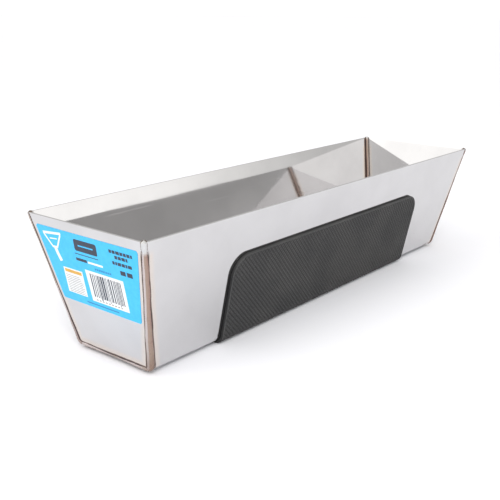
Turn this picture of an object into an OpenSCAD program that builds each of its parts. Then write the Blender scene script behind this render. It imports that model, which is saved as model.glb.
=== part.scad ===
// Mud pan for drywall work: a folded stainless trough closed by two welded end plates,
// with a rubber grip wrapped round its underside and a printed label on one end.
// Origin: on the ground, under the middle of the pan. +X runs along the pan, +Z is up,
// and the label is on the end that faces -X.

/* [Pan] */
// Length over the rim, end plate to end plate
top_length = 355.6; // [300:0.1:420]
// Width over the rim, front wall to back wall
top_width = 95; // [85:1:130]
// Height of the steel pan, from the underside of its floor to the rim
pan_height = 80; // [70:1:95]
// Lean of all four walls, outward from vertical, in degrees
wall_lean = 12; // [8:0.5:14]
// Thickness of the stainless sheet
sheet = 1; // [0.8:0.1:1.2]
// Inside radius of the two folds between the floor and the long walls
fold_inside = 3.5; // [3.5:0.5:6]

/* [Welds] */
// Radius of a corner bead at the rim
bead_top = 2.2; // [2.2:0.1:2.4]
// Radius of a corner bead at the foot, and of the bead under the end plate
bead_foot = 2.4; // [2.2:0.1:2.6]
// Radius of the knuckle where three beads meet at a foot
bead_knuckle = 2.7; // [2.7:0.1:3]
// Distance from the sheets' outer faces to the middle of a bead
bead_depth = 1.4; // [1.2:0.1:1.5]

/* [Grip] */
// Length of the grip along the pan
grip_length = 212; // [120:1:230]
// Distance down each long wall from the rim to the grip's upper edge
grip_drop = 26; // [20:1:40]
// Thickness of the rubber
grip_rubber = 1.8; // [1.5:0.1:3]
// Thickness of the adhesive film between rubber and steel
grip_film = 0.2; // [0.1:0.05:0.5]
// Radius of the grip's four corners
grip_corner = 13; // [5:1:20]
// Margin by which the adhesive film stops short of the rubber's edge
film_margin = 1; // [0.5:0.5:4]

/* [Label] */
// Distance down the end plate from the rim to the label
label_drop = 6; // [4:0.5:10]
// Height of the label, measured down the end plate
label_height = 44.5; // [30:0.5:50]
// Gap between the label and each slanting side of the end plate
label_gap = 5; // [4.5:0.5:12]
// Thickness of the label
label_film = 0.15; // [0.1:0.05:0.3]
// Radius of the label's corners
label_corner = 1.5; // [0.5:0.5:4]

/* [Hidden] */
$fn = 64;
slack = 1;
ground_gap = grip_rubber + grip_film;
rim = ground_gap + pan_height;
wall_length = pan_height / cos(wall_lean);
// Middle of a fold, which every layer of the cross-section shares
fold_outside = fold_inside + sheet;
fold_z = ground_gap + fold_outside;
fold_y = top_width / 2 - (rim - fold_z) * tan(wall_lean) - fold_outside / cos(wall_lean);
// Heights of the two ends of a corner bead's middle line, the upper one over the rim
bead_low = ground_gap + bead_depth;
bead_high = rim + 2 * slack;

// Distance out from the middle of the pan to the outer face of a wall, at height z
function face_at(half_top, z) = half_top - (rim - z) * tan(wall_lean);

// Middle of the front left corner bead at height z
function bead_middle(z) = [
  bead_depth / cos(wall_lean) - face_at(top_length / 2, z),
  bead_depth / cos(wall_lean) - face_at(top_width / 2, z),
  z
];

// Points of an arc about c, from angle a to angle b
function arc(c, r, a, b, steps = 6) =
  [for (i = [0:steps]) c + r * [cos(a + (b - a) * i / steps), sin(a + (b - a) * i / steps)]];

// The children and their mirror image across the pan
module both_sides() {
  children();
  mirror([0, 1, 0]) children();
}

// The children and their mirror image at the other end of the pan
module both_ends() {
  children();
  mirror([1, 0, 0]) children();
}

// Puts a piece on the left end plate: its X runs to the front, its Y up to the rim, Z outward
module on_left_end() {
  translate([-top_length / 2, 0, rim]) rotate([90 + wall_lean, 0, -90]) children();
}

// Puts a piece on the front wall: its X runs along the pan, its Y up to the rim, Z outward
module on_front_wall() {
  translate([0, -top_width / 2, rim]) rotate([90 + wall_lean, 0, 0]) children();
}

// Everything above the rim
module over_rim() {
  translate([-top_length, -top_width, rim]) cube([2 * top_length, 2 * top_width, pan_height]);
}

// The pan's side view made a block right across it, with both ends at the beads' middles
module side_block() {
  low = ground_gap - slack;
  inset = bead_depth / cos(wall_lean);
  reach_low = face_at(top_length / 2, low) - inset;
  reach_high = face_at(top_length / 2, rim) - inset;
  rotate([90, 0, 0])
    linear_extrude(2 * top_width, center = true)
      polygon([[-reach_low, low], [reach_low, low], [reach_high, rim], [-reach_high, rim]]);
}

// Bead in the front left corner, from the knuckle under the fold to over the rim
module corner_rod() {
  foot = bead_middle(bead_low);
  way = bead_middle(bead_high) - foot;
  translate(foot)
    rotate([0, acos(way.z / norm(way)), atan2(way.y, way.x)])
      cylinder(h = norm(way), r1 = bead_foot, r2 = bead_top);
}

module knuckle() {
  translate(bead_middle(bead_low)) sphere(bead_knuckle);
}

// Bead under the left end plate, from one knuckle to the other
module floor_rod() {
  foot = bead_middle(bead_low);
  translate(foot) rotate([-90, 0, 0]) cylinder(h = -2 * foot.y, r = bead_foot);
}

// The sheet given, trimmed to the pan's ends and cut back to every bead
module cut_to_beads() {
  difference() {
    intersection() {
      children();
      side_block();
    }
    both_ends() {
      both_sides() {
        corner_rod();
        knuckle();
      }
      floor_rod();
    }
  }
}

module trough_floor() {
  translate([-top_length / 2, -fold_y, ground_gap]) cube([top_length, 2 * fold_y, sheet]);
}

module back_fold() {
  translate([0, fold_y, fold_z]) rotate([90, 0, 90]) rotate(-90)
    rotate_extrude(angle = 90 - wall_lean)
      translate([fold_inside, -top_length / 2]) square([sheet, top_length]);
}

module back_wall() {
  translate([0, fold_y, fold_z]) rotate([90 - wall_lean, 0, 0])
    translate([-top_length / 2, 0, -fold_outside]) cube([top_length, wall_length, sheet]);
}

module trough() {
  color("silver") {
    cut_to_beads() trough_floor();
    both_sides() {
      cut_to_beads() back_fold();
      cut_to_beads() back_wall();
    }
  }
}

module left_end_plate() {
  // The plate's front lower corner, whose edges all lie inside the beads
  low = -wall_length;
  corner = [top_width / 2 + low * sin(wall_lean), low];
  half = concat(
    [corner - [2 * bead_depth, 0], corner + [-bead_depth / 2, bead_depth / 2]],
    [[top_width / 2 + bead_depth * sin(wall_lean), bead_depth]]
  );
  color("gainsboro")
    difference() {
      on_left_end() translate([0, 0, -sheet]) linear_extrude(sheet)
        polygon(concat(half, [for (i = [len(half) - 1:-1:0]) [-half[i].x, half[i].y]]));
      over_rim();
      both_sides() corner_rod();
      both_sides() knuckle();
      floor_rod();
    }
}

module right_end_plate() {
  mirror([1, 0, 0]) left_end_plate();
}

// A corner bead with its knuckle, cut off at the rim
module corner_bead() {
  difference() {
    union() {
      corner_rod();
      knuckle();
    }
    over_rim();
  }
}

module corner_weld() {
  color("rosybrown") corner_bead();
}

module floor_weld() {
  color("rosybrown")
    difference() {
      floor_rod();
      both_sides() corner_bead();
    }
}

// Outline of one layer's surface at distance d outside the steel, from drop below the rim on
// the back wall, round the floor, to the same place on the front wall
function layer_line(d, drop) =
  let (
    down = [sin(wall_lean), cos(wall_lean)],
    out = [cos(wall_lean), -sin(wall_lean)],
    back = concat(
      [[top_width / 2, rim] - drop * down + d * out],
      arc([fold_y, fold_z], fold_outside + d, -wall_lean, -90, 12)
    )
  )
  concat(back, [for (i = [len(back) - 1:-1:0]) [-back[i].x, back[i].y]]);

// What lies outside the rounded upper corner of a layer on the front wall
module corner_waste(length, drop, radius) {
  depth = ground_gap + 2 * slack;
  on_front_wall() translate([length / 2 - radius, -drop - radius, -slack])
    difference() {
      cube([radius + slack, radius + slack, depth]);
      cylinder(h = 3 * depth, r = radius, center = true);
    }
}

// A layer wrapped round the floor and both long walls, up to drop below the rim
module wrap(d, thickness, length, drop, radius) {
  inside = layer_line(d, drop);
  outside = layer_line(d + thickness, drop);
  difference() {
    rotate([90, 0, 90]) linear_extrude(length, center = true)
      polygon(concat(outside, [for (i = [len(inside) - 1:-1:0]) inside[i]]));
    both_ends() both_sides() corner_waste(length, drop, radius);
  }
}

module grip() {
  color("dimgray") wrap(grip_film, grip_rubber, grip_length, grip_drop, grip_corner);
}

module grip_adhesive() {
  color("black")
    wrap(0, grip_film, grip_length - 2 * film_margin, grip_drop + film_margin,
      grip_corner - film_margin);
}

module label() {
  low = -label_drop - label_height + label_corner;
  high = -label_drop - label_corner;
  inset = label_gap + label_corner;
  low_reach = top_width / 2 + low * sin(wall_lean) - inset;
  high_reach = top_width / 2 + high * sin(wall_lean) - inset;
  color("deepskyblue")
    on_left_end() linear_extrude(label_film)
      polygon(concat(
        arc([high_reach, high], label_corner, -wall_lean, 90),
        arc([-high_reach, high], label_corner, 90, 180 + wall_lean),
        arc([-low_reach, low], label_corner, 180 + wall_lean, 270),
        arc([low_reach, low], label_corner, 270, 360 - wall_lean)
      ));
}

trough();
left_end_plate();
right_end_plate();
corner_weld();  // left_front_weld
mirror([0, 1, 0]) corner_weld();  // left_back_weld
floor_weld();  // left_floor_weld
mirror([1, 0, 0]) corner_weld();  // right_front_weld
mirror([1, 0, 0]) mirror([0, 1, 0]) corner_weld();  // right_back_weld
mirror([1, 0, 0]) floor_weld();  // right_floor_weld
grip();
grip_adhesive();
label();
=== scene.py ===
"""Looks of a mud pan: a folded stainless trough with welded ends, a knurled rubber grip and a label."""

import math
import random

import bmesh
import bpy
from mathutils import Matrix, Vector


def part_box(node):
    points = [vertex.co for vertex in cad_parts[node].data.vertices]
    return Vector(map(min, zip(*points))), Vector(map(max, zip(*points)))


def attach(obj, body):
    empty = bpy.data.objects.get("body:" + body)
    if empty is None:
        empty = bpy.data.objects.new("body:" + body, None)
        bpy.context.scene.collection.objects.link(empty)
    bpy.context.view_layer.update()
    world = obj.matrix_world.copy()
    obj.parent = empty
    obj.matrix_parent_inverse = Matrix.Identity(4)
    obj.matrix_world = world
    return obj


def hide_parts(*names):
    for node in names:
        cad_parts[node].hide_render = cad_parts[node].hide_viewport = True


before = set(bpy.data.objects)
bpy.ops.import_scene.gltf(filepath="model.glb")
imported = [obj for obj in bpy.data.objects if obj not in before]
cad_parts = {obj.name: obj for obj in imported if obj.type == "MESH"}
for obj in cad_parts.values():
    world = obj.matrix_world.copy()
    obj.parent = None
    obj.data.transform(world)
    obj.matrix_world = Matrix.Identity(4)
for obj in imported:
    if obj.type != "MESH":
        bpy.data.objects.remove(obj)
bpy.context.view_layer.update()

MM = 0.001

# The pan's make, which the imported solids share
LEAN = math.radians(12)
SHEET = 1.0 * MM
FOLD_INSIDE = 3.5 * MM
FOLD_OUTSIDE = FOLD_INSIDE + SHEET
SIN, COS, TAN = math.sin(LEAN), math.cos(LEAN), math.tan(LEAN)

# Places from the frame
TROUGH_LOW, TROUGH_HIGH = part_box("trough")
PLATE_LOW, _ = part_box("left_end_plate")
GRIP_LOW, GRIP_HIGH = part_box("grip")
LABEL_LOW, LABEL_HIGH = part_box("label")
RIM_Z = TROUGH_HIGH.z
FLOOR_Z = TROUGH_LOW.z
HALF_WIDTH = TROUGH_HIGH.y
HALF_LENGTH = -PLATE_LOW.x
FOLD_Z = FLOOR_Z + FOLD_OUTSIDE
FOLD_Y = HALF_WIDTH - (RIM_Z - FOLD_Z) * TAN - FOLD_OUTSIDE / COS
# Down a long wall from the rim to where its fold starts
WALL_RUN = (RIM_Z - FOLD_Z + FOLD_OUTSIDE * SIN) / COS


# ---------------------------------------------------------------- small helpers


def smoothstep(low, high, x):
    t = min(max((x - low) / (high - low), 0.0), 1.0)
    return t * t * (3 - 2 * t)


def spread(low, high, count):
    return [low + (high - low) * i / (count - 1) for i in range(count)]


def new_object(name, verts, faces, materials, face_materials=None, sharp_deg=40):
    """A smooth-shaded mesh object, with edges sharper than sharp_deg kept crisp."""
    mesh = bpy.data.meshes.new(name)
    mesh.from_pydata([tuple(v) for v in verts], [], faces)
    for material in materials:
        mesh.materials.append(material)
    if face_materials is not None:
        mesh.polygons.foreach_set("material_index", face_materials)
    bm = bmesh.new()
    bm.from_mesh(mesh)
    bmesh.ops.recalc_face_normals(bm, faces=bm.faces)
    bm.to_mesh(mesh)
    bm.free()
    mesh.polygons.foreach_set("use_smooth", [True] * len(mesh.polygons))
    mesh.set_sharp_from_angle(angle=math.radians(sharp_deg))
    obj = bpy.data.objects.new(name, mesh)
    bpy.context.scene.collection.objects.link(obj)
    return obj


def slab(outer, inner):
    """Vertices and faces of the closed shell between two grids of points of one size."""
    rows, cols = len(outer), len(outer[0])
    verts = [p for row in outer for p in row] + [p for row in inner for p in row]
    back = rows * cols
    faces = []
    for i in range(rows - 1):
        for j in range(cols - 1):
            a, b = i * cols + j, (i + 1) * cols + j
            faces.append((a, a + 1, b + 1, b))
            faces.append((back + a, back + b, back + b + 1, back + a + 1))
    edge = [(0, j) for j in range(cols)] + [(i, cols - 1) for i in range(1, rows)]
    edge += [(rows - 1, j) for j in range(cols - 2, -1, -1)] + [(i, 0) for i in range(rows - 2, 0, -1)]
    for k in range(len(edge)):
        a = edge[k][0] * cols + edge[k][1]
        b = edge[(k + 1) % len(edge)][0] * cols + edge[(k + 1) % len(edge)][1]
        faces.append((a, back + a, back + b, b))
    return verts, faces


def set_stops(node, stops):
    """Gives a colour ramp node its (position, colour) stops, blended with ease."""
    node.color_ramp.interpolation = "EASE"
    elements = node.color_ramp.elements
    while len(elements) < len(stops):
        elements.new(0.5)
    for element, (position, colour) in zip(elements, stops):
        element.position = position
        element.color = (*colour, 1.0)


def finished(piece, slot, *nodes):
    """The piece stands for those CAD nodes and rides with the pan; slot is not used."""
    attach(piece, "root")
    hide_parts(*nodes)
    return piece


# ---------------------------------------------------------------- node helpers


class Shader:
    """A material's node tree, with short calls for the nodes used here."""

    def __init__(self, name):
        self.material = bpy.data.materials.new(name)
        self.material.use_nodes = True
        self.tree = self.material.node_tree
        self.bsdf = self.tree.nodes["Principled BSDF"]
        self.place = self.tree.nodes.new("ShaderNodeTexCoord").outputs["Object"]

    def link(self, source, socket):
        self.tree.links.new(source, socket)

    def put(self, node_type, inputs, **settings):
        """A node with its settings, whose inputs are numbers, colours or other nodes' outputs."""
        node = self.tree.nodes.new(node_type)
        for key, value in settings.items():
            setattr(node, key, value)
        for key, value in inputs.items():
            if isinstance(value, bpy.types.NodeSocket):
                self.link(value, node.inputs[key])
            else:
                node.inputs[key].default_value = value
        return node

    def math(self, operation, a, b=0.0, clamp=False):
        return self.put("ShaderNodeMath", {0: a, 1: b}, operation=operation, use_clamp=clamp).outputs[0]

    def remap(self, value, low, high, to_low=0.0, to_high=1.0):
        inputs = {"Value": value, "From Min": low, "From Max": high, "To Min": to_low, "To Max": to_high}
        return self.put("ShaderNodeMapRange", inputs, interpolation_type="SMOOTHSTEP").outputs[0]

    def scaled(self, scale):
        """The object's own coordinates, stretched by scale on each axis."""
        inputs = {"Vector": self.place, "Scale": scale}
        return self.put("ShaderNodeMapping", inputs).outputs[0]

    def noise(self, vector, scale, detail=3.0, roughness=0.5):
        inputs = {"Vector": vector, "Scale": scale, "Detail": detail, "Roughness": roughness}
        return self.put("ShaderNodeTexNoise", inputs).outputs[0]

    def mix(self, factor, a, b):
        node = self.put("ShaderNodeMix", {0: factor}, data_type="RGBA")
        for socket, value in ((node.inputs[6], a), (node.inputs[7], b)):
            if isinstance(value, bpy.types.NodeSocket):
                self.link(value, socket)
            else:
                socket.default_value = (*value, 1.0)
        return node.outputs[2]

    def ramp(self, value, stops):
        """stops are (position, colour) pairs."""
        node = self.put("ShaderNodeValToRGB", {0: value})
        set_stops(node, stops)
        return node.outputs[0]

    def attribute(self, name):
        return self.put("ShaderNodeAttribute", {}, attribute_name=name).outputs["Fac"]

    def bump(self, height, distance, over=None):
        inputs = {"Height": height, "Distance": distance}
        if over is not None:
            inputs["Normal"] = over
        return self.put("ShaderNodeBump", inputs).outputs[0]

    def finish(self, **inputs):
        """Sets the shader's own sockets, named with underscores for spaces."""
        for key, value in inputs.items():
            socket = self.bsdf.inputs[key.replace("_", " ")]
            if isinstance(value, bpy.types.NodeSocket):
                self.link(value, socket)
            else:
                socket.default_value = value
        return self.material


# ---------------------------------------------------------------- materials

STEEL_COLOUR = (0.648, 0.642, 0.646)
STEEL_DULL = (0.612, 0.606, 0.610)
STRAW = (0.690, 0.635, 0.590)
BRONZE = (0.27, 0.195, 0.165)
BROWN = (0.095, 0.070, 0.062)
TOE = (0.070, 0.052, 0.050)
ROSE = (0.34, 0.225, 0.19)
RIDGE = (0.37, 0.275, 0.225)
FLANK = (0.58, 0.51, 0.49)
OCHRE = (0.36, 0.30, 0.235)
SCORCH = (0.22, 0.13, 0.10)
# Where a bead's toe lies, in from the edge of the sheet, at the rim and at the foot
TOE_TOP = 2.3 * MM
TOE_FOOT = 3.1 * MM
# How far in from the toe the heat tint reaches, and how far its edge wanders
TINT_REACH = 5.0 * MM
TINT_WANDER = 1.3 * MM
# Millimetres down a bead between which it grows scorched, and between which its bare start ends
SCORCH_FROM, SCORCH_TO = 66.0, 82.0
BARE_FROM, BARE_TO = 5.5, 8.5
BARE_METAL = (0.62, 0.62, 0.615)
BARE_EDGE = (0.17, 0.125, 0.10)
INK_ROUGH = 0.30


def steel(name, grain_scale, end_plate):
    """Bright cold-rolled stainless: rolling grain, faint smears and scratches, and heat tint by the welds."""
    s = Shader(name)
    split = s.put("ShaderNodeSeparateXYZ", {0: s.place}).outputs
    far_x = s.math("ABSOLUTE", split[0])
    far_y = s.math("ABSOLUTE", split[1])
    below_rim = s.math("SUBTRACT", RIM_Z, split[2])
    # Distance to the nearest welded edge, measured along this sheet
    to_end = s.math("SUBTRACT", s.math("SUBTRACT", HALF_LENGTH, s.math("MULTIPLY", below_rim, TAN)), far_x)
    to_side = s.math("SUBTRACT", s.math("SUBTRACT", HALF_WIDTH, s.math("MULTIPLY", below_rim, TAN)), far_y)
    to_floor = s.math("SUBTRACT", split[2], FLOOR_Z)
    spread_down = s.remap(below_rim, 20 * MM, RIM_Z, TOE_TOP, TOE_FOOT)
    corner = s.math("SUBTRACT", to_side if end_plate else to_end, spread_down)
    edge = s.math("MINIMUM", corner, s.math("SUBTRACT", to_floor, TOE_TOP)) if end_plate else corner
    wander = s.noise(s.place, 90.0, 3.0)
    edge = s.math("ADD", edge, s.math("MULTIPLY", s.math("SUBTRACT", wander, 0.5), TINT_WANDER))
    # The torch starts a little below the rim
    lit = s.remap(below_rim, 4 * MM, 9 * MM)
    cloud = s.noise(s.place, 28.0, 5.0, 0.55)
    base = s.mix(s.remap(cloud, 0.35, 0.7), STEEL_COLOUR, STEEL_DULL)
    stops = [(0.0, BROWN), (0.04, BROWN), (0.09, BRONZE), (0.17, STRAW), (0.70, STRAW), (1.0, STEEL_COLOUR)]
    share = s.math("DIVIDE", edge, TINT_REACH, clamp=True)
    tint = s.ramp(share, stops)
    near = s.math("MULTIPLY", s.remap(edge, TINT_REACH, 0.3 * TINT_REACH), lit)
    colour = s.mix(near, base, tint)
    grain = s.noise(s.scaled(grain_scale), 60.0, 6.0, 0.65)
    smear = s.noise(s.scaled((0.6, 1.0, 1.6)), 18.0, 4.0, 0.6)
    scratch = s.noise(s.scaled((2.0, 60.0, 60.0)), 9.0, 2.0)
    scratched = s.remap(scratch, 0.66, 0.72, 0.0, 0.08)
    rough = s.math("ADD", s.remap(smear, 0.3, 0.75, 0.035, 0.075), scratched)
    rough = s.math("ADD", rough, s.math("MULTIPLY", near, 0.15))
    normal = s.bump(grain, 0.0012 * MM)
    normal = s.bump(s.noise(s.place, 22.0, 2.0), 0.04 * MM, over=normal)
    return s.finish(
        Base_Color=colour,
        Metallic=1.0,
        Roughness=rough,
        Normal=normal,
        Anisotropic=0.25,
    )


def weld_metal():
    """Heat-tinted bead: a pale flank and a brown one, dark toes, oxide patches, and a bare silvery start."""
    s = Shader("weld_metal")
    # 0 at the toe on the long wall or floor, 0.5 on the ridge, 1 at the toe on the end plate
    across = s.attribute("across")
    down = s.attribute("down")
    patches = s.noise(s.scaled((1.0, 1.0, 0.45)), 170.0, 3.0, 0.55)
    fine = s.noise(s.place, 1400.0, 3.0)
    uneven = s.math("MULTIPLY", s.math("SUBTRACT", patches, 0.5), 0.22)
    band = s.ramp(
        s.math("ADD", across, uneven),
        [
            (0.05, TOE),
            (0.15, ROSE),
            (0.44, RIDGE),
            (0.56, RIDGE),
            (0.66, FLANK),
            (0.86, FLANK),
            (0.95, TOE),
        ],
    )
    oxide = s.noise(s.scaled((1.0, 1.0, 0.3)), 60.0, 3.0, 0.5)
    band = s.mix(s.remap(oxide, 0.54, 0.66, 0.0, 0.55), band, OCHRE)
    band = s.mix(s.remap(down, SCORCH_FROM, SCORCH_TO, 0.0, 0.45), band, SCORCH)
    edge = s.math("ABSOLUTE", s.math("SUBTRACT", across, 0.5))
    tinted = s.mix(s.remap(edge, 0.41, 0.47), band, TOE)
    bare = s.mix(s.remap(edge, 0.26, 0.42), BARE_METAL, BARE_EDGE)
    wander = s.math("ADD", down, s.math("MULTIPLY", s.math("SUBTRACT", patches, 0.5), 3.0))
    colour = s.mix(s.remap(wander, BARE_FROM, BARE_TO), bare, tinted)
    rough = s.remap(patches, 0.3, 0.7, 0.24, 0.38)
    normal = s.bump(fine, 0.02 * MM)
    return s.finish(Base_Color=colour, Metallic=1.0, Roughness=rough, Normal=normal)


def rubber():
    """Charcoal rubber: paler on the high points and darker in the grooves, painted light on the walls and
    edges that face up the pan, and fine moulded pitting.
    """
    s = Shader("grip_rubber")
    patches = s.noise(s.place, 30.0, 4.0)
    fine = s.noise(s.place, 2400.0, 2.0)
    # height carries the grip's tone: paler high points, darker grooves, and painted light on the walls and
    # edges that face up the pan
    height = s.attribute("height")
    low = s.mix(patches, (0.007, 0.007, 0.0075), (0.011, 0.011, 0.0115))
    high = s.mix(s.remap(patches, 0.35, 0.65), (0.043, 0.043, 0.044), (0.062, 0.061, 0.060))
    colour = s.mix(height, low, high)
    rough = s.remap(fine, 0.3, 0.7, 0.55, 0.72)
    return s.finish(
        Base_Color=colour,
        Roughness=rough,
        Normal=s.bump(fine, 0.015 * MM),
        Specular_IOR_Level=0.4,
    )


def ink(name, colour, shade):
    """Printed ink under a clear film: faint mottling and a soft gloss with fine wrinkles."""
    s = Shader(name)
    mottle = s.noise(s.place, 420.0, 3.0)
    wrinkle = s.noise(s.scaled((1.0, 0.5, 2.0)), 90.0, 3.0)
    return s.finish(
        Base_Color=s.mix(s.remap(mottle, 0.35, 0.65), colour, shade),
        Roughness=s.remap(mottle, 0.3, 0.7, INK_ROUGH, INK_ROUGH + 0.08),
        Normal=s.bump(wrinkle, 0.03 * MM),
        Specular_IOR_Level=0.25,
        Coat_Weight=0.08,
        Coat_Roughness=0.12,
    )


TROUGH_STEEL = steel("trough_steel", (0.8, 30.0, 30.0), end_plate=False)
PLATE_STEEL = steel("end_plate_steel", (30.0, 0.8, 30.0), end_plate=True)
WELD = weld_metal()
RUBBER = rubber()
BLUE = ink("label_blue", (0.050, 0.48, 0.86), (0.042, 0.45, 0.82))
DEEP_BLUE = ink("label_deep_blue", (0.02, 0.22, 0.46), (0.02, 0.20, 0.42))
WHITE = ink("label_white", (0.80, 0.81, 0.82), (0.76, 0.77, 0.78))
NAVY = ink("label_navy", (0.022, 0.032, 0.055), (0.030, 0.040, 0.065))
GREY = ink("label_grey", (0.30, 0.30, 0.29), (0.25, 0.25, 0.25))
AMBER = ink("label_amber", (0.66, 0.38, 0.07), (0.60, 0.34, 0.06))


# ---------------------------------------------------------------- sheets

RIM_ROUND = 0.28 * MM
RIM_TOP = RIM_Z - SHEET * SIN
BEAD_DEPTH = 1.6 * MM
BOW = 0.035 * MM
# Below a sheet's rim, where its rounding is over and its plain face starts
RIM_BAND = 1.2 * MM


def rim_rows(side):
    """(distance below the rim, distance in from the outer face) of a sheared edge's rounding."""
    shares = ((1.0, 0.0), (0.3, 0.09), (0.09, 0.3), (0.0, 1.0))
    rows = [(down * RIM_ROUND, depth * RIM_ROUND) for down, depth in shares]
    if side == "inner":
        return [(down, SHEET - depth) for down, depth in rows]
    return rows


def bow(x, y, z):
    """How far a sheet stands off its true plane there: slow, shallow waves left by folding and welding."""
    slow = math.sin(31 * x + 1.3) * math.cos(17 * z + 0.4 + 9 * y)
    return BOW * (slow + 0.5 * math.sin(73 * x + 50 * z + 2.1))


def half_section(side):
    """Points (y, z, outward y, outward z) down the back wall of the trough and to the floor's middle."""
    depth = 0.0 if side == "outer" else SHEET
    points = []
    for down, inward in reversed(rim_rows(side)):
        points.append((down, inward))
    for down in spread(RIM_BAND, WALL_RUN, 22):
        points.append((down, depth))
    section = []
    for down, inward in points:
        y = HALF_WIDTH - down * SIN - inward * COS
        z = RIM_TOP - (down * COS) + inward * SIN
        section.append((y, z, COS, -SIN))
    radius = FOLD_OUTSIDE - depth
    for angle in spread(-LEAN, -math.pi / 2, 12)[1:]:
        y = FOLD_Y + radius * math.cos(angle)
        z = FOLD_Z + radius * math.sin(angle)
        section.append((y, z, math.cos(angle), math.sin(angle)))
    for y in spread(FOLD_Y, 0.0, 9)[1:]:
        section.append((y, FLOOR_Z + depth, 0.0, -1.0))
    return section


def trough_grid(side):
    half = half_section(side)
    section = half + [(-y, z, -ny, nz) for y, z, ny, nz in half[-2::-1]]
    grid = []
    for u in spread(-1.0, 1.0, 121):
        row = []
        for y, z, ny, nz in section:
            x = u * (HALF_LENGTH - (RIM_Z - z) * TAN - BEAD_DEPTH / COS)
            push = bow(x, 0.2 * y, z) * (1 - abs(u) ** 6) * smoothstep(FOLD_Z, FOLD_Z + 12 * MM, z)
            row.append((x, y + push * ny, z + push * nz))
        grid.append(row)
    return grid


def make_trough():
    verts, faces = slab(trough_grid("outer"), trough_grid("inner"))
    finished(new_object("trough_sheet", verts, faces, [TROUGH_STEEL]), "trough_steel", "trough")


def plate_matrix(end):
    """Puts a piece on an end plate: its X runs across, its Y up to the rim, its Z outward. end is -1 or 1."""
    out = Vector((end * COS, 0.0, -SIN))
    up = Vector((end * SIN, 0.0, COS))
    across = up.cross(out)
    rotation = Matrix((across, up, out)).transposed().to_4x4()
    return Matrix.Translation((end * HALF_LENGTH, 0.0, RIM_Z)) @ rotation


PLATE_FOOT = -(RIM_Z - FLOOR_Z) / COS
PLATE_FOLD = -(RIM_Z - FOLD_Z) / COS


def plate_reach(y):
    """Half the width of an end plate at y, with its edges inside the beads."""
    if y >= PLATE_FOLD:
        edge = HALF_WIDTH + y * SIN
    else:
        drop = (PLATE_FOLD - y) / (PLATE_FOLD - PLATE_FOOT)
        edge = FOLD_Y + FOLD_OUTSIDE / COS * math.sqrt(max(1 - drop * drop, 0.0))
    return edge - BEAD_DEPTH


def make_end_plate(name, end, node):
    foot = PLATE_FOOT + BEAD_DEPTH
    matrix = plate_matrix(end)
    top = -SHEET * SIN / COS
    bend = PLATE_FOLD + 1 * MM
    tones_with_painted_light = spread(foot, bend, 8) + spread(bend, top - RIM_BAND, 26)[1:]
    grids = []
    for side in ("outer", "inner"):
        depth = 0.0 if side == "outer" else SHEET
        rows = [(y, depth) for y in tones_with_painted_light] + [(top - down, inward) for down, inward in rim_rows(side)]
        grid = []
        for y, inward in rows:
            row = []
            for u in spread(-1.0, 1.0, 41):
                x = u * plate_reach(y)
                push = 0.7 * bow(x, 0.3, y) * (1 - u**4) * smoothstep(foot, foot + 15 * MM, y)
                row.append(matrix @ Vector((x, y, push - inward)))
            grid.append(row)
        grids.append(grid)
    verts, faces = slab(*grids)
    finished(new_object(name, verts, faces, [PLATE_STEEL]), "end_plate_steel", node)


# ---------------------------------------------------------------- welds

BEAD_STEP = 0.26 * MM
BEAD_SIDES = 30
RIPPLE_PITCH = 1.55 * MM
RIPPLE = 0.13 * MM
BEAD_TOP = 1.76 * MM
BEAD_FOOT = 2.26 * MM
BEAD_FLOOR = 1.78 * MM
BULB = 0.18 * MM
BULB_LENGTH = 6.0 * MM
END_CAP = 1.3 * MM
# Inside the pan the dark toes take up more of the bead
INNER_TOE = 1.3
# (size, length per radian) of the waves by which a bead strays from its line, and grows and shrinks
DRIFTS = ((0.10 * MM, 9 * MM), (0.05 * MM, 3.1 * MM))
SWELLS = ((0.035, 6.3 * MM), (0.02, 2.3 * MM))
# How much of a bead's bare start the heat tint has covered, in mm
FRESH_START = 0.0
TINTED_START = 5.0
NO_BARE_START = 20.0


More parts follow.
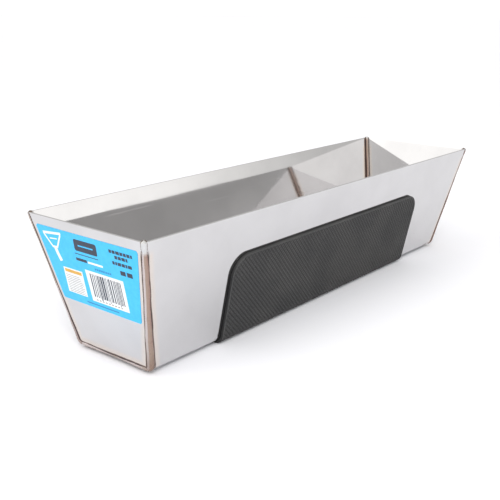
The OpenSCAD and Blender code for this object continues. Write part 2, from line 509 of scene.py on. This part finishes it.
def bead(name, node, path, facing, radius_at, burnt, rng):
    """A rippled weld bead swept along path. facing gives the outward direction at each of its points.

    burnt says how many millimetres of the bare silvery start the heat tint has covered.
    """
    start_bulb = burnt < NO_BARE_START
    count = len(path)
    lengths = [0.0]
    for a, b in zip(path, path[1:]):
        lengths.append(lengths[-1] + (b - a).length)
    total = lengths[-1]
    end = math.copysign(1.0, path[0].x)
    phases = [rng.uniform(0, 2 * math.pi) for _ in range(4)]
    verts, across, down = [], [], []
    for i in range(count):
        s = lengths[i]
        tangent = (path[min(i + 1, count - 1)] - path[max(i - 1, 0)]).normalized()
        out = (facing[i] - facing[i].dot(tangent) * tangent).normalized()
        side = tangent.cross(out)
        drift = sum(size * math.sin(s / run + phase) for (size, run), phase in zip(DRIFTS, phases[:2]))
        swell = 1 + sum(size * math.sin(s / run + phase) for (size, run), phase in zip(SWELLS, phases[2:]))
        cap = 1.0
        for gone in (s, total - s):
            if gone < END_CAP:
                cap *= math.sqrt(max(1 - (1 - gone / END_CAP) ** 2, 0.0004))
        bulb = BULB * (1 - smoothstep(0.6 * BULB_LENGTH, BULB_LENGTH, s)) if start_bulb else 0.0
        for k in range(BEAD_SIDES):
            angle = 2 * math.pi * k / BEAD_SIDES
            turned = math.cos(angle)
            outer = radius_at(s / total) * swell + bulb
            inner = 0.86 * radius_at(s / total)
            # Ripples lag behind towards the toes, as the weld pool leaves them
            lag = 0.9 * MM * (1 - turned)
            unevenness = 0.5 * math.sin(s / (4 * MM) + phases[1])
            wave = abs(math.sin(math.pi * (s + lag) / RIPPLE_PITCH + unevenness))
            ripple = RIPPLE * (wave - 0.6) * (0.35 if start_bulb and s < 0.8 * BULB_LENGTH else 1.0)
            radius = cap * (inner + (outer - inner) * smoothstep(-0.6, 0.5, turned) + ripple)
            verts.append(path[i] + out * (radius * turned) + side * (radius * math.sin(angle) + drift))
            toe_angle = math.pi / 4 + math.acos(min(BEAD_DEPTH / outer, 1.0))
            inner_toe = 0.75 * math.pi - math.acos((BEAD_DEPTH - SHEET) / inner)
            from_ridge = math.acos(turned)
            share = min(from_ridge / toe_angle, INNER_TOE * (math.pi - from_ridge) / inner_toe, 1.0)
            across.append(0.5 + 0.5 * share * math.copysign(1.0, math.sin(angle) * side.x * end))
            down.append(s / MM + burnt)
    faces = []
    for i in range(count - 1):
        for k in range(BEAD_SIDES):
            a, b = i * BEAD_SIDES + k, i * BEAD_SIDES + (k + 1) % BEAD_SIDES
            faces.append((a, b, b + BEAD_SIDES, a + BEAD_SIDES))
    faces.append(tuple(range(BEAD_SIDES)))
    faces.append(tuple(range(len(verts) - 1, len(verts) - BEAD_SIDES - 1, -1)))
    obj = new_object(name, verts, faces, [WELD], sharp_deg=75)
    for key, values in (("across", across), ("down", down)):
        layer = obj.data.attributes.new(key, "FLOAT", "POINT")
        layer.data.foreach_set("value", values)
    finished(obj, "weld_metal", node)


def stepped(points):
    """The polyline through points, cut into even steps of about BEAD_STEP."""
    path = []
    for a, b in zip(points, points[1:]):
        steps = max(round((b - a).length / BEAD_STEP), 1)
        path += [a.lerp(b, i / steps) for i in range(steps)]
    return path + [points[-1]]


END_VIEW_LEAN = math.atan(SIN)
BEND = FOLD_OUTSIDE - BEAD_DEPTH
RIM_RISE = 0.25 * MM


def corner_points(matrix, side):
    """Middle line of a corner bead, down from the rim and round under the fold, with outward directions."""
    bend_y = PLATE_FOLD - BEAD_DEPTH * TAN
    angles = spread(-END_VIEW_LEAN, -math.pi / 2, 16)
    start = Vector((FOLD_Y + BEND * math.cos(angles[0]), bend_y + BEND * math.sin(angles[0])))
    run = (RIM_RISE - start.y) / math.cos(END_VIEW_LEAN)
    top = start + run * Vector((math.sin(END_VIEW_LEAN), math.cos(END_VIEW_LEAN)))
    flat = [top] + [Vector((FOLD_Y + BEND * math.cos(a), bend_y + BEND * math.sin(a))) for a in angles]
    path = stepped([matrix @ Vector((side * p.x, p.y, -BEAD_DEPTH)) for p in flat])
    rotation = matrix.to_3x3()
    inverse = matrix.inverted()
    facing = []
    for p in path:
        local = inverse @ p
        if local.y > start.y:
            around = Vector((math.cos(END_VIEW_LEAN), -math.sin(END_VIEW_LEAN), 0))
        else:
            around = Vector((abs(local.x) - FOLD_Y, local.y - bend_y, 0)).normalized()
        facing.append(rotation @ Vector((side * around.x, around.y, 1.0)))
    return path, facing


def corner_radius(t):
    """Radius of a corner bead at share t of its way down."""
    return BEAD_TOP + (BEAD_FOOT - BEAD_TOP) * t * t


def floor_radius(t):
    """Radius of a floor bead at share t of its way across."""
    return BEAD_FLOOR + (BEAD_FOOT - BEAD_FLOOR) * abs(2 * t - 1) ** 3


def make_welds():
    rng = random.Random(7)
    for end, end_name in ((-1, "left"), (1, "right")):
        matrix = plate_matrix(end)
        for side, side_name in ((-1, "front"), (1, "back")):
            # The plate's X runs to +Y at the right end and to -Y at the left end
            path, facing = corner_points(matrix, side * end)
            name = f"{end_name}_{side_name}_weld"
            burnt = FRESH_START if name == "left_front_weld" else TINTED_START
            bead(name + "_bead", name, path, facing, corner_radius, burnt, rng)
        low = PLATE_FOLD - BEAD_DEPTH * TAN - BEND
        reach = FOLD_Y + 0.6 * MM
        ends = [matrix @ Vector((x, low, -BEAD_DEPTH)) for x in (-reach, reach)]
        path = stepped(ends)
        facing = [matrix.to_3x3() @ Vector((0, -1, 1)) for _ in path]
        name = f"{end_name}_floor_weld"
        bead(name + "_bead", name, path, facing, floor_radius, NO_BARE_START, rng)


# ---------------------------------------------------------------- grip

GRIP_HALF = GRIP_HIGH.x
GRIP_OUT = FLOOR_Z - GRIP_LOW.z
GRIP_FILM = 0.2 * MM
GRIP_RUBBER = GRIP_OUT - GRIP_FILM
GRIP_CORNER = 13 * MM
GRIP_FOLD = (FOLD_OUTSIDE + GRIP_OUT) * (math.pi / 2 - LEAN)
GRIP_TOP_DOWN = (RIM_Z - GRIP_HIGH.z) / COS
GRIP_WALL = WALL_RUN - GRIP_TOP_DOWN
GRIP_REACH = FOLD_Y + GRIP_FOLD + GRIP_WALL
BORDER = 1.0 * MM
KNURL_PITCH = 2.15 * MM
KNURL_ANGLE = math.radians(45)
KNURL_DEPTH = 0.40 * MM
KNURL_ALONG = 0.64
KNURL_ACROSS = 0.52
KNURL_SUNK = 0.05 * MM
EDGE_ROUND = 0.35 * MM
CUT_TOLERANCE = 1e-7
HEIGHT_TOLERANCE = 1e-6


def wrapped(u, v, height):
    """Where a point of the flat grip lies on the pan: u along it, v round it, height over its outer face."""
    side = 1 if v >= 0 else -1
    run = abs(v)
    out = FOLD_OUTSIDE + GRIP_OUT + height
    if run <= FOLD_Y:
        y, z = run, FOLD_Z - out
    elif run <= FOLD_Y + GRIP_FOLD:
        angle = -math.pi / 2 + (run - FOLD_Y) / (FOLD_OUTSIDE + GRIP_OUT)
        y, z = FOLD_Y + out * math.cos(angle), FOLD_Z + out * math.sin(angle)
    else:
        up = run - FOLD_Y - GRIP_FOLD
        y = FOLD_Y + out * COS + up * SIN
        z = FOLD_Z - out * SIN + up * COS
    return (u, side * y, z)


def outline_cuts(inset):
    """(point, outward direction) of straight cuts that leave the grip's outline, moved in by inset."""
    cuts = []
    radius = GRIP_CORNER - inset
    for quarter, (sx, sy) in enumerate(((1, 1), (-1, 1), (-1, -1), (1, -1))):
        centre = Vector((sx * (GRIP_HALF - GRIP_CORNER), sy * (GRIP_REACH - GRIP_CORNER), 0))
        for step in range(10):
            angle = math.radians(quarter * 90 + step * 10)
            out = Vector((math.cos(angle), math.sin(angle), 0))
            cuts.append((centre + radius * out, out))
    return cuts


def edge_normal(u, v):
    """Outward direction of the rounded outline nearest to a point close to it."""
    x = abs(u) - (GRIP_HALF - GRIP_CORNER)
    y = abs(v) - (GRIP_REACH - GRIP_CORNER)
    if x > 0 and y > 0:
        out = Vector((x, y)).normalized()
    elif abs(u) - GRIP_HALF > abs(v) - GRIP_REACH:
        out = Vector((1, 0))
    else:
        out = Vector((0, 1))
    return Vector((math.copysign(out.x, u), math.copysign(out.y, v)))


def knurl():
    """The flat field of small diamonds between crossed grooves, as a bmesh."""
    bm = bmesh.new()
    a = Vector((math.cos(KNURL_ANGLE), math.sin(KNURL_ANGLE)))
    b = Vector((math.cos(KNURL_ANGLE), -math.sin(KNURL_ANGLE)))
    side = KNURL_PITCH / math.sin(2 * KNURL_ANGLE)
    reach = GRIP_REACH + 4 * side
    corners = {}

    def corner(i, j):
        if (i, j) not in corners:
            p = (a * i + b * j) * side
            corners[i, j] = bm.verts.new((p.x, p.y, -KNURL_DEPTH))
        return corners[i, j]

    span = int((GRIP_HALF / a.x + reach / a.y) / side) + 2
    for i in range(-span, span):
        for j in range(-span, span):
            middle = (a * (i + 0.5) + b * (j + 0.5)) * side
            if abs(middle.x) > GRIP_HALF + side or abs(middle.y) > reach:
                continue
            base = [corner(i, j), corner(i + 1, j), corner(i + 1, j + 1), corner(i, j + 1)]
            top = []
            for da, db in ((-1, -1), (1, -1), (1, 1), (-1, 1)):
                p = middle + (a * da * KNURL_ALONG + b * db * KNURL_ACROSS) * (side / 2)
                top.append(bm.verts.new((p.x, p.y, -KNURL_SUNK)))
            bm.faces.new(top)
            for k in range(4):
                bm.faces.new((base[k], base[(k + 1) % 4], top[(k + 1) % 4], top[k]))
    return bm


def slice_at(bm, point, out, clear):
    """Cuts the mesh along a plane, and with clear also takes away what lies beyond it."""
    bmesh.ops.bisect_plane(
        bm,
        geom=bm.verts[:] + bm.edges[:] + bm.faces[:],
        plane_co=point,
        plane_no=out,
        clear_outer=clear,
        dist=CUT_TOLERANCE,
    )


def grip_tone_with_painted_light(p):
    """How pale the flat grip is painted at p: 0 in the grooves, about 1 on the high points; the walls and
    rounded edges that face up the pan are painted paler as painted light.
    """
    if p.z < -GRIP_RUBBER / 2:
        # Painted light: the walls that face up the pan are painted paler than the short ends
        return 0.3 * abs(edge_normal(p.x, p.y).y)
    if abs(p.z + EDGE_ROUND) < HEIGHT_TOLERANCE:
        # Painted light: the rounded long edges, which face up the pan, are painted paler, and the short ends
        # less so
        return 0.15 + 0.8 * abs(edge_normal(p.x, p.y).y)
    # Paler on the knurl's high points, darker down in the grooves
    return max(1.0 + 1.1 * min(p.z, 0.0) / KNURL_DEPTH, 0.0)


def make_grip():
    bm = knurl()
    for point, out in outline_cuts(BORDER):
        slice_at(bm, point, out, clear=True)
    edge = [e for e in bm.edges if e.is_boundary]
    # The plain border: up out of the grooves, out to the edge, over it and down to the film
    rows = [
        (0.12 * MM, -0.04 * MM),
        (0.25 * MM, -0.02 * MM),
        (BORDER - EDGE_ROUND, -0.01 * MM),
        (BORDER - 0.3 * EDGE_ROUND, -0.3 * EDGE_ROUND),
        (BORDER, -EDGE_ROUND),
        (BORDER, -GRIP_RUBBER),
    ]
    reached = 0.0
    for outward, height in rows:
        made = bmesh.ops.extrude_edge_only(bm, edges=edge)["geom"]
        for vert in [g for g in made if isinstance(g, bmesh.types.BMVert)]:
            out = edge_normal(vert.co.x, vert.co.y)
            vert.co.x += out.x * (outward - reached)
            vert.co.y += out.y * (outward - reached)
            vert.co.z = height
        reached = outward
        edge = [g for g in made if isinstance(g, bmesh.types.BMEdge)]
    bmesh.ops.triangle_fill(bm, use_beauty=True, edges=edge)
    # Enough cuts across the underside for it to follow the folds
    for side in (-1, 1):
        for v in spread(FOLD_Y, FOLD_Y + GRIP_FOLD, 13):
            slice_at(bm, (0, side * v, 0), (0, 1, 0), clear=False)
    tones_with_painted_light = []
    for vert in bm.verts:
        tones_with_painted_light.append(grip_tone_with_painted_light(vert.co))
        vert.co = wrapped(vert.co.x, vert.co.y, vert.co.z)
    bmesh.ops.recalc_face_normals(bm, faces=bm.faces)
    if bm.calc_volume(signed=True) < 0:
        bmesh.ops.reverse_faces(bm, faces=bm.faces)
    mesh = bpy.data.meshes.new("grip_pad")
    bm.to_mesh(mesh)
    bm.free()
    mesh.materials.append(RUBBER)
    mesh.polygons.foreach_set("use_smooth", [True] * len(mesh.polygons))
    mesh.set_sharp_from_angle(angle=math.radians(32))
    # The height attribute holds the grip's tone, with painted light on its upward-facing walls and edges
    layer = mesh.attributes.new("height", "FLOAT", "POINT")
    layer.data.foreach_set("value", tones_with_painted_light)
    obj = bpy.data.objects.new("grip_pad", mesh)
    bpy.context.scene.collection.objects.link(obj)
    finished(obj, "grip_rubber", "grip")


def dress_adhesive():
    """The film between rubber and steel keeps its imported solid, with a finish of its own."""
    s = Shader("adhesive_film")
    mottle = s.noise(s.place, 90.0, 3.0)
    material = s.finish(
        Base_Color=s.mix(mottle, (0.018, 0.018, 0.018), (0.035, 0.034, 0.033)),
        Roughness=s.remap(mottle, 0.3, 0.7, 0.5, 0.7),
        Normal=s.bump(mottle, 0.02 * MM),
    )
    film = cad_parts["grip_adhesive"]
    film.data.materials.clear()
    film.data.materials.append(material)


# ---------------------------------------------------------------- label

LABEL_FILM = 0.15 * MM
INK_STEP = 0.02 * MM
LABEL_TOP = -(RIM_Z - LABEL_HIGH.z) / COS - LABEL_FILM * SIN / COS
LABEL_FOOT = -(RIM_Z - LABEL_LOW.z) / COS
LABEL_INSET = 5.0 * MM
LABEL_CORNER = 1.5 * MM


class Print:
    """Flat printed shapes stacked on an end plate, each a thin closed slab with its own ink."""

    def __init__(self, matrix):
        self.matrix = matrix
        self.verts, self.faces, self.inks, self.ink_of = [], [], [], []

    def shape(self, outline, ink, low, high):
        """outline holds (x, y) in metres on the plate; low and high are heights over the plate."""
        if ink not in self.inks:
            self.inks.append(ink)
        start, n = len(self.verts), len(outline)
        for height in (low, high):
            self.verts += [self.matrix @ Vector((x, y, height)) for x, y in outline]
        self.faces.append(tuple(start + n + i for i in range(n)))
        self.faces.append(tuple(start + i for i in reversed(range(n))))
        for i in range(n):
            j = (i + 1) % n
            self.faces.append((start + i, start + j, start + n + j, start + n + i))
        self.ink_of += [self.inks.index(ink)] * (n + 2)

    def printed(self, outline_mm, ink, layer=1):
        points = [(x * MM, y * MM) for x, y in outline_mm]
        self.shape(points, ink, LABEL_FILM + (layer - 1) * INK_STEP, LABEL_FILM + layer * INK_STEP)

    def bar(self, x0, x1, y0, y1, ink, layer=1, slant=0.0):
        """A bar between two places across and two up; slant moves its foot sideways."""
        self.printed([(x0, y1), (x1, y1), (x1 + slant, y0), (x0 + slant, y0)], ink, layer)


def rounded(corners, radius, steps=5):
    """The outline of a convex polygon, given anticlockwise, with its corners rounded."""
    outline = []
    n = len(corners)
    for i in range(n):
        here, before, after = corners[i], corners[i - 1], corners[(i + 1) % n]
        a, b = (before - here).normalized(), (after - here).normalized()
        half = a.angle(b) / 2
        centre = here + (a + b).normalized() * (radius / math.sin(half))
        first = here + a * (radius / math.tan(half)) - centre
        turn = math.pi - 2 * half
        for k in range(steps + 1):
            outline.append(tuple(centre + Matrix.Rotation(turn * k / steps, 2) @ first))
    return outline


def stroke(points, width):
    """The outline of a line of that width drawn through points, with square ends."""
    left, right = [], []
    for i, p in enumerate(points):
        before = Vector(points[max(i - 1, 0)])
        after = Vector(points[min(i + 1, len(points) - 1)])
        along = (after - before).normalized()
        side = Vector((-along.y, along.x)) * (width / 2)
        left.append(tuple(Vector(p) + side))
        right.append(tuple(Vector(p) - side))
    return left + right[::-1]


def make_label():
    """A blue trapezoid with a pictogram, rules, a striped panel and a small notice panel, and no words."""
    rng = random.Random(11)
    page = Print(plate_matrix(-1))
    corners = []
    for x_sign, y in ((-1, LABEL_TOP), (-1, LABEL_FOOT), (1, LABEL_FOOT), (1, LABEL_TOP)):
        corners.append(Vector((x_sign * (HALF_WIDTH + y * SIN - LABEL_INSET), y)))
    page.shape(rounded(corners, LABEL_CORNER), BLUE, 0.01 * MM, LABEL_FILM)
    # Pictogram: a taping knife, with its blade, ferrule and handle
    page.printed(stroke([(-36.0, -10.2), (-20.2, -8.6)], 1.5), WHITE)
    page.printed(stroke([(-35.4, -11.0), (-29.6, -18.2)], 1.1), WHITE, 2)
    page.printed(stroke([(-20.8, -9.4), (-26.0, -17.8)], 1.1), WHITE, 2)
    page.printed(stroke([(-30.2, -17.9), (-25.4, -17.5)], 1.2), WHITE, 3)
    page.printed(stroke([(-27.9, -17.8), (-27.2, -21.0), (-25.2, -25.8)], 2.6), WHITE)
    page.printed(stroke([(-31.0, -13.0), (-24.6, -12.4)], 0.7), WHITE)
    # Plain heading block with its rules
    block = [Vector(p) for p in ((-9.8, -9.2), (-10.4, -16.2), (8.2, -16.2), (8.7, -9.2))]
    page.printed(rounded(block, 1.2), NAVY)
    page.bar(-6.8, 5.4, -13.1, -12.3, BLUE, 2)
    page.bar(-11.2, 8.0, -18.3, -17.8, NAVY)
    page.bar(-11.2, -2.2, -22.3, -20.6, NAVY)
    page.bar(-1.4, 10.6, -22.2, -21.0, WHITE)
    # Rows of dashes where wording would be
    for y, x0, x1 in ((-10.4, 18.6, 36.2), (-13.3, 22.2, 32.6), (-16.9, 19.6, 34.8)):
        x = x0
        while x < x1 - 0.8:
            width = min(rng.uniform(1.2, 3.0), x1 - x)
            page.bar(x, x + width, y - 0.95, y + 0.95, NAVY)
            x += width + 0.45
    page.bar(24.2, 28.2, -23.2, -20.6, NAVY)
    page.bar(29.2, 33.4, -23.2, -20.6, NAVY)
    # Small notice panel: amber band over grey rules
    page.printed([(-25.2, -29.2), (-25.6, -45.0), (-9.4, -45.0), (-9.0, -29.2)], WHITE)
    page.bar(-24.2, -10.0, -32.0, -30.0, AMBER, 2)
    y = -33.6
    while y > -44.0:
        page.bar(-24.3, -10.3 - rng.uniform(0, 2.5), y - 0.35, y, GREY, 2)
        y -= 1.15
    # Striped panel
    page.printed([(-5.8, -26.8), (-5.2, -45.9), (24.4, -45.9), (24.7, -26.8)], WHITE)
    x = -2.6
    while x < 21.6:
        width = rng.choice((0.45, 0.6, 0.6, 0.9, 1.2))
        foot = -42.8 if rng.random() < 0.85 else -43.9
        page.bar(x, x + width, foot, -28.4, NAVY, 2)
        x += width + rng.choice((0.45, 0.6, 0.9))
    for k in range(9):
        page.bar(-1.8 + 2.5 * k, -0.4 + 2.5 * k, -44.9, -44.2, GREY, 2)
    # A small rule over the panel and a faint one along the foot
    x = 3.2
    while x < 16.4:
        page.bar(x, x + 1.1, -25.3, -24.1, DEEP_BLUE)
        x += 1.5
    page.bar(-11.0, 15.5, -48.5, -47.7, DEEP_BLUE)
    obj = new_object("label_print", page.verts, page.faces, page.inks, page.ink_of, sharp_deg=30)
    finished(obj, "label_print", "label")


# ---------------------------------------------------------------- stage, light and camera

CAMERA_AZIMUTH = math.radians(-50.33)
CAMERA_ELEVATION = math.radians(17.01)
CAMERA_ROLL = math.radians(0.198)
CAMERA_DISTANCE = 554.5 * MM
CAMERA_TARGET = Vector((-11.23, 24.70, 25.28)) * MM
CAMERA_LENS = 55.9
FLOOR_HALF = 40.0


def make_stage():
    s = Shader("floor_paper")
    fibre = s.noise(s.place, 40.0, 4.0)
    paper = s.finish(
        Base_Color=s.mix(fibre, (0.92, 0.925, 0.965), (0.935, 0.94, 0.975)),
        Roughness=0.8,
        Specular_IOR_Level=0.1,
    )
    floor = new_object(
        "floor",
        [(x * FLOOR_HALF, y * FLOOR_HALF, 0) for x, y in ((-1, -1), (1, -1), (1, 1), (-1, 1))],
        [(0, 1, 2, 3)],
        [paper],
    )


def make_softbox():
    """A square light on the left that lights the pan but isn't mirrored in it."""
    light = bpy.data.lights.new("left_softbox", "AREA")
    light.shape = "RECTANGLE"
    light.size = light.size_y = SOFTBOX_SIZE
    light.energy = SOFTBOX_POWER
    obj = bpy.data.objects.new("left_softbox", light)
    obj.location = SOFTBOX_PLACE
    obj.rotation_euler = (SOFTBOX_AIM - SOFTBOX_PLACE).to_track_quat("-Z", "Y").to_euler()
    obj.visible_glossy = False
    obj.visible_camera = False
    bpy.context.scene.collection.objects.link(obj)


# (turn round the pan from -X through -Y, 0 to 1, and how bright the studio is there), low and half-way up
STUDIO_LOW = (
    (0.0, 1.12), (0.09, 1.04), (0.22, 1.15), (0.355, 1.47), (0.41, 0.71),
    (0.61, 0.90), (0.72, 0.95), (0.90, 1.63), (1.0, 1.12),
)
STUDIO_HIGH = (
    (0.0, 0.95), (0.06, 1.08), (0.09, 1.64), (0.15, 1.73), (0.20, 0.82), (0.45, 0.66),
    (0.62, 0.66), (0.84, 0.80), (0.89, 2.07), (0.95, 2.25), (1.0, 0.95),
)
STUDIO_TOP = 1.22
STUDIO_HORIZON = 1.12
STUDIO_COLOUR = (1.0, 0.99, 0.97)
BRIGHTEST = 3.0
# Heights on the sky, 0 at the horizon and 1 overhead, between which one level gives way to the next
HORIZON_ENDS = (0.015, 0.035)
LOW_ENDS = (0.28, 0.33)
HIGH_ENDS = (0.70, 0.85)
SOFTBOX_PLACE = Vector((-0.6, -0.5, 0.6))
SOFTBOX_AIM = Vector((-0.1, -0.1, 0.0))
SOFTBOX_SIZE = 0.45
SOFTBOX_POWER = 3.0


def make_studio():
    """A white studio with brighter panels in front and behind on the left, as levels on the sky."""
    world = bpy.data.worlds.new("studio")
    world.use_nodes = True
    tree = world.node_tree
    background = tree.nodes["Background"]

    def ranged(value, from_low, from_high, to_low, to_high):
        node = tree.nodes.new("ShaderNodeMapRange")
        settings = (value, from_low, from_high, to_low, to_high)
        for key, setting in zip(("Value", "From Min", "From Max", "To Min", "To Max"), settings):
            if isinstance(setting, bpy.types.NodeSocket):
                tree.links.new(setting, node.inputs[key])
            else:
                node.inputs[key].default_value = setting
        return node.outputs[0]

    split = tree.nodes.new("ShaderNodeSeparateXYZ")
    tree.links.new(tree.nodes.new("ShaderNodeTexCoord").outputs["Generated"], split.inputs[0])
    turn = tree.nodes.new("ShaderNodeMath")
    turn.operation = "ARCTAN2"
    tree.links.new(split.outputs[1], turn.inputs[0])
    tree.links.new(split.outputs[0], turn.inputs[1])
    round_pan = ranged(turn.outputs[0], -math.pi, math.pi, 0.0, 1.0)
    levels = []
    for stops in (STUDIO_LOW, STUDIO_HIGH):
        ramp = tree.nodes.new("ShaderNodeValToRGB")
        set_stops(ramp, [(position, (level / BRIGHTEST,) * 3) for position, level in stops])
        tree.links.new(round_pan, ramp.inputs[0])
        levels.append(ranged(ramp.outputs[0], 0.0, 1.0, 0.0, BRIGHTEST))
    low, high = levels
    wall = ranged(split.outputs[2], *LOW_ENDS, low, high)
    above = ranged(split.outputs[2], *HIGH_ENDS, wall, STUDIO_TOP)
    level = ranged(split.outputs[2], *HORIZON_ENDS, STUDIO_HORIZON, above)
    tree.links.new(level, background.inputs["Strength"])
    background.inputs["Color"].default_value = (*STUDIO_COLOUR, 1.0)
    bpy.context.scene.world = world


def make_camera():
    back = Vector((
        math.sin(CAMERA_AZIMUTH) * math.cos(CAMERA_ELEVATION),
        -math.cos(CAMERA_AZIMUTH) * math.cos(CAMERA_ELEVATION),
        math.sin(CAMERA_ELEVATION),
    ))
    level = Vector((math.cos(CAMERA_AZIMUTH), math.sin(CAMERA_AZIMUTH), 0.0))
    rise = back.cross(level)
    right = level * math.cos(CAMERA_ROLL) + rise * math.sin(CAMERA_ROLL)
    up = back.cross(right)
    camera = bpy.data.cameras.new("camera")
    camera.lens = CAMERA_LENS
    camera.sensor_width = 36.0
    obj = bpy.data.objects.new("camera", camera)
    rotation = Matrix((right, up, back)).transposed().to_4x4()
    obj.matrix_world = Matrix.Translation(CAMERA_TARGET + back * CAMERA_DISTANCE) @ rotation
    bpy.context.scene.collection.objects.link(obj)
    bpy.context.scene.camera = obj


make_trough()
make_end_plate("left_plate_sheet", -1, "left_end_plate")
make_end_plate("right_plate_sheet", 1, "right_end_plate")
make_welds()
make_grip()
dress_adhesive()
make_label()
make_stage()
make_studio()
make_softbox()
make_camera()
# Keeps the white floor white
bpy.context.scene.view_settings.view_transform = "Standard"
